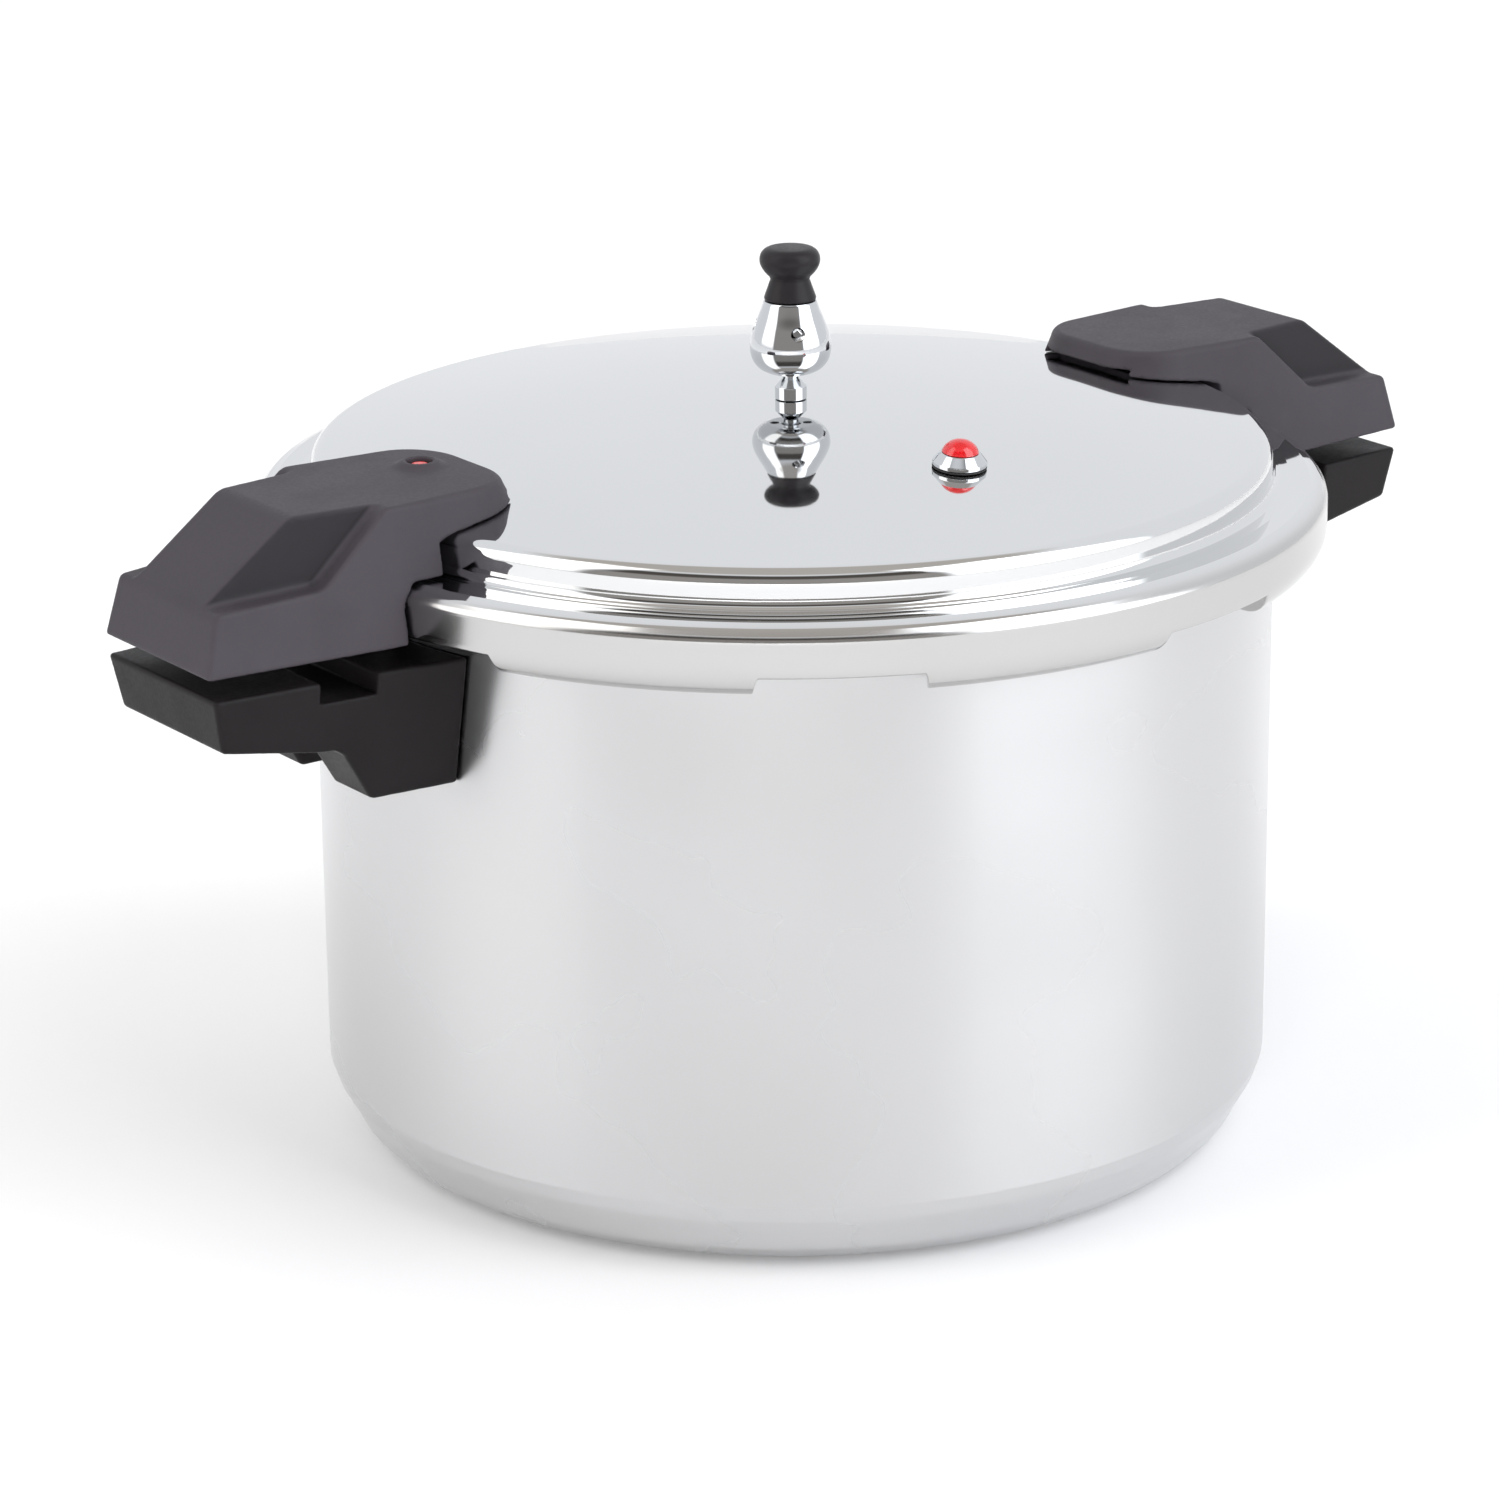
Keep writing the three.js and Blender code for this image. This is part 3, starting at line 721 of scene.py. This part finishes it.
def skirt_tail(share):
    """The lower part of the skirt's section, ending between the lugs or at a lug's inner edge."""
    bend, wall = 7.5, 1.5
    middle_x = SKIRT_R - wall
    centre = (middle_x - bend, LUG_BOTTOM + wall + 8.3)
    drop = centre[1] - LUG_BOTTOM - wall
    quarter = 0.5 * math.pi * math.sqrt((bend**2 + drop**2) / 2)
    inward = centre[0] - 162.6
    full = quarter + inward
    stop_angle = math.asin((centre[1] - SKIRT_BOTTOM) / drop)
    short = quarter * stop_angle / (math.pi / 2)
    length = short + (full - short) * share
    middle, normals = [], []
    for s in np.linspace(0, length, 15):
        if s < quarter:
            angle = -s / quarter * math.pi / 2
            middle.append((centre[0] + bend * math.cos(angle), centre[1] + drop * math.sin(angle)))
            normals.append((math.cos(angle), math.sin(angle)))
        else:
            middle.append((centre[0] - (s - quarter), LUG_BOTTOM + wall))
            normals.append((0.0, -1.0))
    middle, normals = np.array(middle), np.array(normals)
    outer, inner = middle + normals * wall, middle - normals * wall
    tip, out = middle[-1], normals[-1]
    ahead = np.array((out[1], -out[0]))
    cap = [
        tuple(tip + out * wall * math.cos(a) + ahead * wall * 0.8 * math.sin(a))
        for a in np.linspace(0, math.pi, 9)[1:-1]
    ]
    return [tuple(q) for q in outer] + cap + [tuple(q) for q in inner[::-1]]


def lid_profile(angle):
    plate = 2.8
    lean = math.degrees(math.atan(2 * CROWN * (LID_WALL_R - 5.2) / CROWN_R**2))
    shoulder = arc((LID_WALL_R - 5.2, LID_TOP - 5.2), 5.2, 90 - lean, 0, 9)
    outer = rounded(
        [
            (LID_WALL_R, LID_TOP - 7),
            (LID_WALL_R, LEDGE + 0.4, 3.0),
            (163.4, LEDGE - 0.1, 3),
            (169.4, LEDGE, 1.3),
            (173.0, LEDGE - 1.3, 3),
            (SKIRT_R, 214.4, 3.4),
            (SKIRT_R, 206.4),
        ],
        7,
        closed=False,
    )
    inner_wall, inner_skirt, under = LID_WALL_R - plate, SKIRT_R - 3, LEDGE - plate
    inner = rounded(
        [
            (inner_skirt, 206.4),
            (inner_skirt, under, 3),
            (inner_wall, under, 2),
            (inner_wall, LID_TOP - 4.6),
        ],
        5,
        closed=False,
    )
    corner = arc((inner_wall - 2.4, LID_TOP - plate - 1.8), 2.4, 0, 80, 5)
    top = crown(0, LID_WALL_R - 6.5, 19)
    bottom = crown(LID_WALL_R - 8, 0, 15, plate)
    tail = skirt_tail(lug_share(angle, LID_LUG_WIDTH, 1.5))
    return top + shoulder + outer + tail + inner + corner + bottom


def lid():
    angles = lug_angles(LID_LUG_WIDTH, 1.5, 288)
    vertices, faces = lugged(angles, lid_profile)
    shell = piece("lid_shell_fine", vertices, faces, "lid_shell", "polished_aluminium", sharp=50)
    screw = axis_of("lid_handle_screw_right_back")
    holes = [(4.8, (0, 0)), (2.6, PIN)]
    holes += [(3.0, (side * screw[0], end * screw[1])) for side in (-1, 1) for end in (-1, 1)]
    for size, centre in holes:
        drill = [(0, LID_TOP - 8), (size, LID_TOP - 8), (size, LID_TOP + 20), (0, LID_TOP + 20)]
        cut(shell, *turned(drill, 40, centre))
    vertices, faces = turned([(0, -8), (6.4, -8), (6.4, 8), (0, 8)], 48)
    cut(shell, on_crown(vertices), faces)


def on_crown(points):
    """Moves points given round the over-pressure plug's own axis to its place on the domed lid."""
    lean = math.atan(2 * CROWN * RELIEF_R / CROWN_R**2)
    return points @ np.array(Matrix.Rotation(lean, 3, "X")).T + (0, -RELIEF_R, float(crown_at(RELIEF_R)))


def sealing_gasket():
    low, high = box_mm("sealing_gasket")
    inner, outer = WALL_R - WALL + 0.4, high[1]
    seat = POT_RIM + 0.4
    profile = rounded(
        [
            (inner, seat, 0.5),
            (outer - 3, seat, 0.6),
            (outer, low[2], 0.8),
            (outer, high[2], 1.6),
            (165, high[2], 0.3),
            (163, high[2] - 0.8, 0.5),
            (161, high[2], 0.3),
            (inner, high[2], 1.2),
        ],
        4,
    )
    piece("sealing_gasket_fine", *turned(profile, 192), "sealing_gasket", "black_rubber")


# ---------------------------------------------------------------- handles

HANDLE_STEP = 0.8


def lid_shadow(x, y, z):
    """The space that the lid takes up under an upper handle."""
    radius = np.hypot(x, y)
    wall, below = LID_WALL_R + 3.4, 150
    outline = [(0, below), (wall, below), (wall, LID_TOP - 1.6), (154, LID_TOP + 0.5), (0, LID_TOP + 0.5)]
    raised = convex(radius, z, outline, 0.6)
    dome = z - crown_at(np.minimum(radius, CROWN_R)) - 0.45
    raised = either(raised, both(dome, radius - 153, 0), 0.2)
    edge = SKIRT_R + 0.9
    outline = [(0, below), (edge, below), (edge, LEDGE - 5.4), (SKIRT_R - 3.4, LEDGE + 1), (0, LEDGE + 1)]
    return either(raised, convex(radius, z, outline, 1.2), 1.0)


def nose(x, y, z):
    """The plan outline of the handle's nose, spreading a little towards the bottom."""
    down = UPPER_TOP - z
    front = np.clip((142 - x) / 17.7, 0, 1.3)
    u = np.maximum((142 - x - 0.42 * down * front) / 17.7, 0)
    v = np.maximum((np.abs(y) - 9 - 0.14 * down) / 20, 0)
    corner = (np.hypot(u, v) - 1) * 18.5
    side = (np.abs(y) - 29 - 0.083 * np.maximum(x - 142, 0) - 0.14 * down) / 1.01
    return np.where(x < 142, corner, side)


def upper_handle(x, y, z):
    """One upper handle on the +X side."""
    side_view = [
        (105, UPPER_BOTTOM),
        (UPPER_TIP, UPPER_BOTTOM),
        (235.8, 219.6),
        (204, UPPER_TOP),
        (105, UPPER_TOP),
    ]
    body = convex(x, z, side_view, 1.5)
    body = both(body, drafted(x, y, z, (UPPER_TIP, UPPER_BOTTOM), 31.6, SIDE_FLARE, DRAFT), 1.5)
    body = both(body, nose(x, y, z), 1.9)
    inner = beside(x, z, (PANEL_INNER_X, UPPER_TOP), (199, 221.8))
    ledge = beside(x, z, (240, 219.4), (199, 221.6))
    core = drafted(x, y, z, (PANEL_INNER_X, UPPER_TOP), CORE_HALF_WIDTH, CORE_FLARE, DRAFT)
    recess = both(both(inner, -ledge, 1.6), -core, 2.2)
    body = less(body, recess, 1.1)
    body = less(body, lid_shadow(x, y, z), 0.5)
    pocket_wide = both(convex(x, z, [(182, 190), (234, 190), (231, 216), (182, 216)], 2), np.abs(y) - 24, 2)
    pocket_deep = both(
        convex(x, z, [(182, 190), (230, 190), (230, 213), (201, 236), (182, 236)], 2), np.abs(y) - 16, 2
    )
    body = less(body, either(pocket_wide, pocket_deep, 1), 0.8)
    roof = UPPER_TOP - 5.9
    tip_gap = convex(x, z, [(100, 228), (134.3, 228), (131.3, roof), (100, roof)], 0.4)
    return less(body, both(tip_gap, np.abs(y) - 22, 0.4), 0.5)


def pin_handle(x, y, z):
    """The left handle, turned half round from the right one, with the lock pin's hole in a raised ring."""
    body = upper_handle(-x, -y, z)
    radius = np.hypot(x - PIN[0], y - PIN[1])
    lip = [(-1, UPPER_TOP - 3), (7.6, UPPER_TOP - 3), (5.7, UPPER_TOP + 1.4), (-1, UPPER_TOP + 1.4)]
    body = either(body, convex(radius, z, lip, 0.6), 3.0)
    hole = both(radius - 4.25, UPPER_TOP - 6.6 - z, 0.2)
    return less(body, np.minimum(hole, radius - 2.8), 0.45)


def lower_handle(x, y, z):
    """One lower handle on the +X side."""
    grip = convex(
        x,
        z,
        [(140, 173.5), (200, 170.2), (235.8, 176.3), (LOWER_TIP, LOWER_TOP), (140, LOWER_TOP)],
        1.3,
    )
    leg = [(140, LOWER_BOTTOM), (184.5, LOWER_BOTTOM), (196.4, 171.8), (196, 180), (140, 180)]
    body = either(grip, convex(x, z, leg, 1.2), 4)
    sides = drafted(x, y, z, (LOWER_TIP, LOWER_TOP), 32.6, SIDE_FLARE, -DRAFT)
    body = both(body, sides, 1.3)
    body = less(body, np.hypot(x, y) - WALL_R - 0.4, 1.0)
    groove = convex(x, z, [(184.2, 187), (203.5, 187), (203.5, 210), (184.2, 210)], 0.3)
    body = less(body, groove, 0.7)
    channel = both(convex(x, z, [(170, 130), (215, 130), (215, 168), (170, 168)], 1.5), np.abs(y) - 10, 1.5)
    body = less(body, channel, 0.7)
    screw_hole = both(np.hypot(y, z - 161) - 3, x - 175, 0)
    return less(body, screw_hole, 0)


def left_lower_handle(x, y, z):
    return lower_handle(-x, -y, z)


def handle(node, slot, solid):
    low, high = box_mm(node)
    margin = 2 * HANDLE_STEP
    points, quads = skin(solid, low - margin, high + margin, HANDLE_STEP)
    piece(f"{node}_fine", points, quads, node, slot, sharp=180, weighted=False)


def handles():
    handle("lid_handle_right", "charcoal_phenolic", upper_handle)
    handle("lid_handle_left", "charcoal_phenolic", pin_handle)
    handle("body_handle_right", "black_phenolic", lower_handle)
    handle("body_handle_left", "black_phenolic", left_lower_handle)


# ---------------------------------------------------------------- vent tube and weight


def above(points):
    """Profile points whose heights are counted from the crown of the lid."""
    return [(point[0], point[1] + LID_TOP + CROWN, *point[2:]) for point in points]


def vent_tube():
    profile = rounded(
        above(
            [
                (1.5, -10.7, 0.3),
                (4.1, -10.7, 0.4),
                (4.1, 0.2, 0.1),
                (5.25, 0.2, 0.25),
                (5.25, 4.3, 0.5),
                (3.1, 6.8, 0.4),
                (2.55, 7.6, 0.4),
                (2.55, 19.4, 0.4),
                (1.5, 20, 0.3),
            ]
        )
    )
    piece("vent_tube_fine", *turned(profile, 72), "vent_tube", "chrome")


def weight_body():
    belly = curve(
        [
            (8.4, 9.48),
            (10.7, 10.9),
            (12.55, 13.5),
            (13.3, 17.0),
            (12.98, 20.6),
            (11.77, 24.7),
            (10.0, 29.2),
            (8.7, 32.7),
        ],
        8,
    )
    bore = [(0, 20.6), (2.9, 20.6), (3.3, 20.2), (3.3, 9.9), (3.8, 9.35)]
    base = [(4.2, 9.25), (7.5, 9.25), (8.0, 9.32)]
    top = [(8.5, 32.95), (8.1, 33.0), (2.5, 33.0), (2.5, 41.8), (0, 41.8)]
    profile = above(bore + base + belly + top)
    weight = piece("weight_body_fine", *turned(profile, 160), "weight_body", "chrome", sharp=32)
    side = [(0, 7.3), (1.5, 7.3), (1.5, 10.6), (2.5, 11.9), (2.5, 20), (0, 20)]
    for angle, height in ((-114, 24.3), (146, 25.3), (-20, 18.5)):
        vertices, faces = turned(side, 32)
        turn = Matrix.Rotation(math.radians(angle), 3, "Z") @ Matrix.Rotation(math.radians(90), 3, "Y")
        cut(weight, vertices @ np.array(turn).T + (0, 0, LID_TOP + CROWN + height), faces)
    for angle in (145, -35):
        centre = 5.45 * np.array((math.cos(math.radians(angle)), math.sin(math.radians(angle))))
        cut(weight, *turned(above([(0, 5), (1.55, 5), (1.55, 13.6), (0, 13.6)]), 32, centre))


def weight_knob():
    head = curve([(6.8, 41.0), (8.75, 43.2), (9.87, 45.9), (9.35, 48.6), (7.4, 50.2), (4.4, 50.55)], 6)
    profile = (
        above([(0, 42.2), (2.9, 42.2), (2.9, 33.4), (8.05, 33.4), (8.4, 33.5), (8.5, 33.8), (8.5, 34.0)])
        + above(curve([(8.4, 34.3), (7.4, 37.1), (6.55, 39.5), (6.4, 40.1)], 4))
        + above(head)
        + above([(0, 50.6)])
    )
    piece("weight_knob_fine", *turned(profile, 96), "weight_knob", "knob_phenolic")


# ---------------------------------------------------------------- over-pressure plug and lock pin


def relief():
    gasket = rounded([(6.4, 0.25), (8.7, 0.25, 0.2), (8.7, 0.85, 0.2), (6.4, 0.85)], 3)
    bezel = rounded(
        [
            (3.7, -9.8, 0.3),
            (6.0, -9.8, 0.4),
            (6.0, 1.0),
            (8.7, 1.0, 0.3),
            (8.7, 2.2, 0.5),
            (6.35, 5.1, 0.5),
            (3.7, 5.1, 0.3),
        ]
    )
    dome = arc((0, 4.0), 6.05, 14, 88, 14, tall=5.2)
    barb = [(0, -12.7), (3.1, -12.7), (3.5, -12.5), (4.5, -11.4), (4.5, -10.2)]
    stem = barb + [(3.3, -10.2), (3.3, 5.2), (5.7, 5.2)]
    for name, profile, slot in (
        ("relief_plug_gasket", gasket, "black_rubber"),
        ("relief_plug_bezel", bezel, "chrome"),
        ("relief_plug", stem + dome + [(0, 9.2)], "red_rubber"),
    ):
        vertices, faces = turned(profile, 96)
        piece(f"{name}_fine", on_crown(vertices), faces, name, slot)


def lock_pin():
    low, high = box_mm("lock_pin")
    shoulder = UPPER_TOP - 6.2
    profile = rounded(
        [
            (0, low[2]),
            (2.1, low[2], 0.4),
            (2.1, shoulder),
            (3.7, shoulder, 0.3),
            (3.7, high[2] - 0.4, 0.6),
            (2.4, high[2] + 0.7, 1.0),
            (0, high[2] + 1.0),
        ],
        4,
        closed=False,
    )
    piece("lock_pin_fine", *turned(profile, 64, PIN), "lock_pin", "red_plastic")


# ---------------------------------------------------------------- small CAD parts that show as they are


def fastenings():
    slots = {row["node"]: row["material_slot"] for row in frame["record"]["subparts"]}
    for name, obj in frame["nodes"].items():
        if obj.hide_render:
            continue
        obj.data.materials.clear()
        obj.data.materials.append(LOOKS[slots[name]])
        bevel = obj.modifiers.new("edges", "BEVEL")
        bevel.width = 0.25 * MM
        bevel.segments = 2
        bevel.limit_method = "ANGLE"
        bevel.angle_limit = math.radians(35)


# ---------------------------------------------------------------- stage, light and camera

CAMERA_AZIMUTH = -35.827
CAMERA_ELEVATION = 18.359
CAMERA_ROLL = -0.612
CAMERA_DISTANCE = 1.7474
CAMERA_LENS = 125.47
AIM_HEIGHT = 0.12227
AIM_ACROSS = -0.014607


def camera():
    azimuth, elevation, roll = (math.radians(a) for a in (CAMERA_AZIMUTH, CAMERA_ELEVATION, CAMERA_ROLL))
    flat = math.cos(elevation)
    back = Vector((math.sin(azimuth) * flat, -math.cos(azimuth) * flat, math.sin(elevation)))
    level = Vector((math.cos(azimuth), math.sin(azimuth), 0))
    upright = back.cross(level)
    right = level * math.cos(roll) + upright * math.sin(roll)
    up = upright * math.cos(roll) - level * math.sin(roll)
    data = bpy.data.cameras.new("camera")
    data.lens = CAMERA_LENS
    data.sensor_width = 36
    data.clip_start, data.clip_end = 0.05, 100
    obj = bpy.data.objects.new("camera", data)
    bpy.context.scene.collection.objects.link(obj)
    place = Vector((0, 0, AIM_HEIGHT)) + level * AIM_ACROSS + back * CAMERA_DISTANCE
    obj.matrix_world = Matrix.Translation(place) @ Matrix((right, up, back)).transposed().to_4x4()
    bpy.context.scene.camera = obj


def floor():
    look = Look("floor", (0.93, 0.93, 0.935), 0.75, 0.0, Specular_IOR_Level=0.2)
    mottle = look.noise(3.0, 2.0)
    look.paint(Base_Color=look.blend(mottle, (0.925, 0.925, 0.93), (0.94, 0.94, 0.945)))
    radius = 30.0
    vertices, faces = [(0, 0, 0)], []
    count = 64
    for i in range(count):
        angle = 2 * math.pi * i / count
        vertices.append((radius * math.cos(angle), radius * math.sin(angle), 0))
        faces.append((0, i + 1, (i + 1) % count + 1))
    data = bpy.data.meshes.new("floor")
    data.from_pydata(vertices, [], faces)
    obj = bpy.data.objects.new("floor", data)
    obj.location.z = -0.0006
    data.materials.append(look.material)
    bpy.context.scene.collection.objects.link(obj)


# Patches of the studio: azimuth from the camera's side and half width, elevation from and to, in degrees,
# and the colour. A later patch covers an earlier one.
BACKDROP = (0.89, 0.905, 0.93)
STUDIO = [
    ((0, 200), (60, 100), (0.52, 0.49, 0.46)),
    ((-6, 43), (-90, 52), (0.09, 0.082, 0.075)),
    ((-6, 43), (-90, 30), (0.34, 0.325, 0.31)),
    ((-72, 19), (4, 64), (2.2, 2.16, 2.1)),
    ((63, 25), (0, 64), (3.0, 3.07, 3.18)),
]


def world():
    """A white studio: dark behind the camera, a tall soft box on either side, and a dimmer ceiling."""
    made = bpy.data.worlds.new("studio")
    bpy.context.scene.world = made
    made.use_nodes = True
    nodes, links = made.node_tree.nodes, made.node_tree.links

    def node(kind, inputs, operation=None):
        new = nodes.new(kind)
        if operation:
            setattr(new, "operation" if kind != "ShaderNodeMapRange" else "interpolation_type", operation)
        for socket, value in inputs.items():
            if isinstance(value, bpy.types.NodeSocket):
                links.new(value, new.inputs[socket])
            else:
                new.inputs[socket].default_value = value
        return new

    def step(value, low, high):
        inputs = {"Value": value, "From Min": low, "From Max": high, "To Min": 0.0, "To Max": 1.0}
        return node("ShaderNodeMapRange", inputs, "SMOOTHSTEP").outputs["Result"]

    direction = nodes.new("ShaderNodeTexCoord").outputs["Generated"]
    height = node("ShaderNodeSeparateXYZ", {0: direction}).outputs[2]
    level = node("ShaderNodeVectorMath", {0: direction, 1: (1, 1, 0)}, "MULTIPLY").outputs[0]
    level = node("ShaderNodeVectorMath", {0: level}, "NORMALIZE").outputs[0]
    color = (*BACKDROP, 1)
    for (azimuth, half), (low, high), shade in STUDIO:
        turn = math.radians(CAMERA_AZIMUTH + azimuth)
        centre = (math.sin(turn), -math.cos(turn), 0)
        facing = node("ShaderNodeVectorMath", {0: level, 1: centre}, "DOT_PRODUCT").outputs["Value"]
        outer, inner = (math.cos(math.radians(min(half + s, 180))) for s in (4, -4))
        part = step(facing, outer - 0.001, inner) if half < 180 else 1.0
        for edge, rising in ((low, True), (high, False)):
            sines = [math.sin(math.radians(min(max(edge + s, -90), 90))) for s in (-5, 5)]
            if sines[0] == sines[1]:
                continue
            mask = step(height, *sines)
            if not rising:
                mask = node("ShaderNodeMath", {0: 1.0, 1: mask}, "SUBTRACT").outputs[0]
            part = node("ShaderNodeMath", {0: part, 1: mask}, "MULTIPLY").outputs[0]
        mix = nodes.new("ShaderNodeMix")
        mix.data_type = "RGBA"
        for socket, value in ((0, part), (6, color), (7, (*shade, 1))):
            if isinstance(value, bpy.types.NodeSocket):
                links.new(value, mix.inputs[socket])
            else:
                mix.inputs[socket].default_value = value
        color = mix.outputs[2]
    links.new(color, nodes["Background"].inputs["Color"])


def panel(name, place, size, power, color=(1, 1, 1)):
    """A soft light panel that faces the object."""
    data = bpy.data.lights.new(name, "AREA")
    data.shape = "RECTANGLE"
    data.size, data.size_y = size
    data.energy = power
    data.color = color
    obj = bpy.data.objects.new(name, data)
    obj.location = place
    obj.rotation_mode = "QUATERNION"
    obj.rotation_quaternion = (Vector(place) - Vector((0, 0, 0.12))).to_track_quat("Z", "Y")
    bpy.context.scene.collection.objects.link(obj)
    return obj


def lights():
    for obj in (
        panel("top_fill", (0.3, 0.2, 2.4), (2.0, 2.0), 9),
        panel("front_fill", (-2.3, -2.7, 0.8), (1.6, 0.9), 68),
    ):
        obj.visible_glossy = False


# ---------------------------------------------------------------- the scene

pot()
jar_rack()
lid()
sealing_gasket()
handles()
vent_tube()
weight_body()
weight_knob()
relief()
lock_pin()
fastenings()
camera()
floor()
world()
lights()
bpy.context.scene.view_settings.view_transform = "Standard"
bpy.context.view_layer.update()
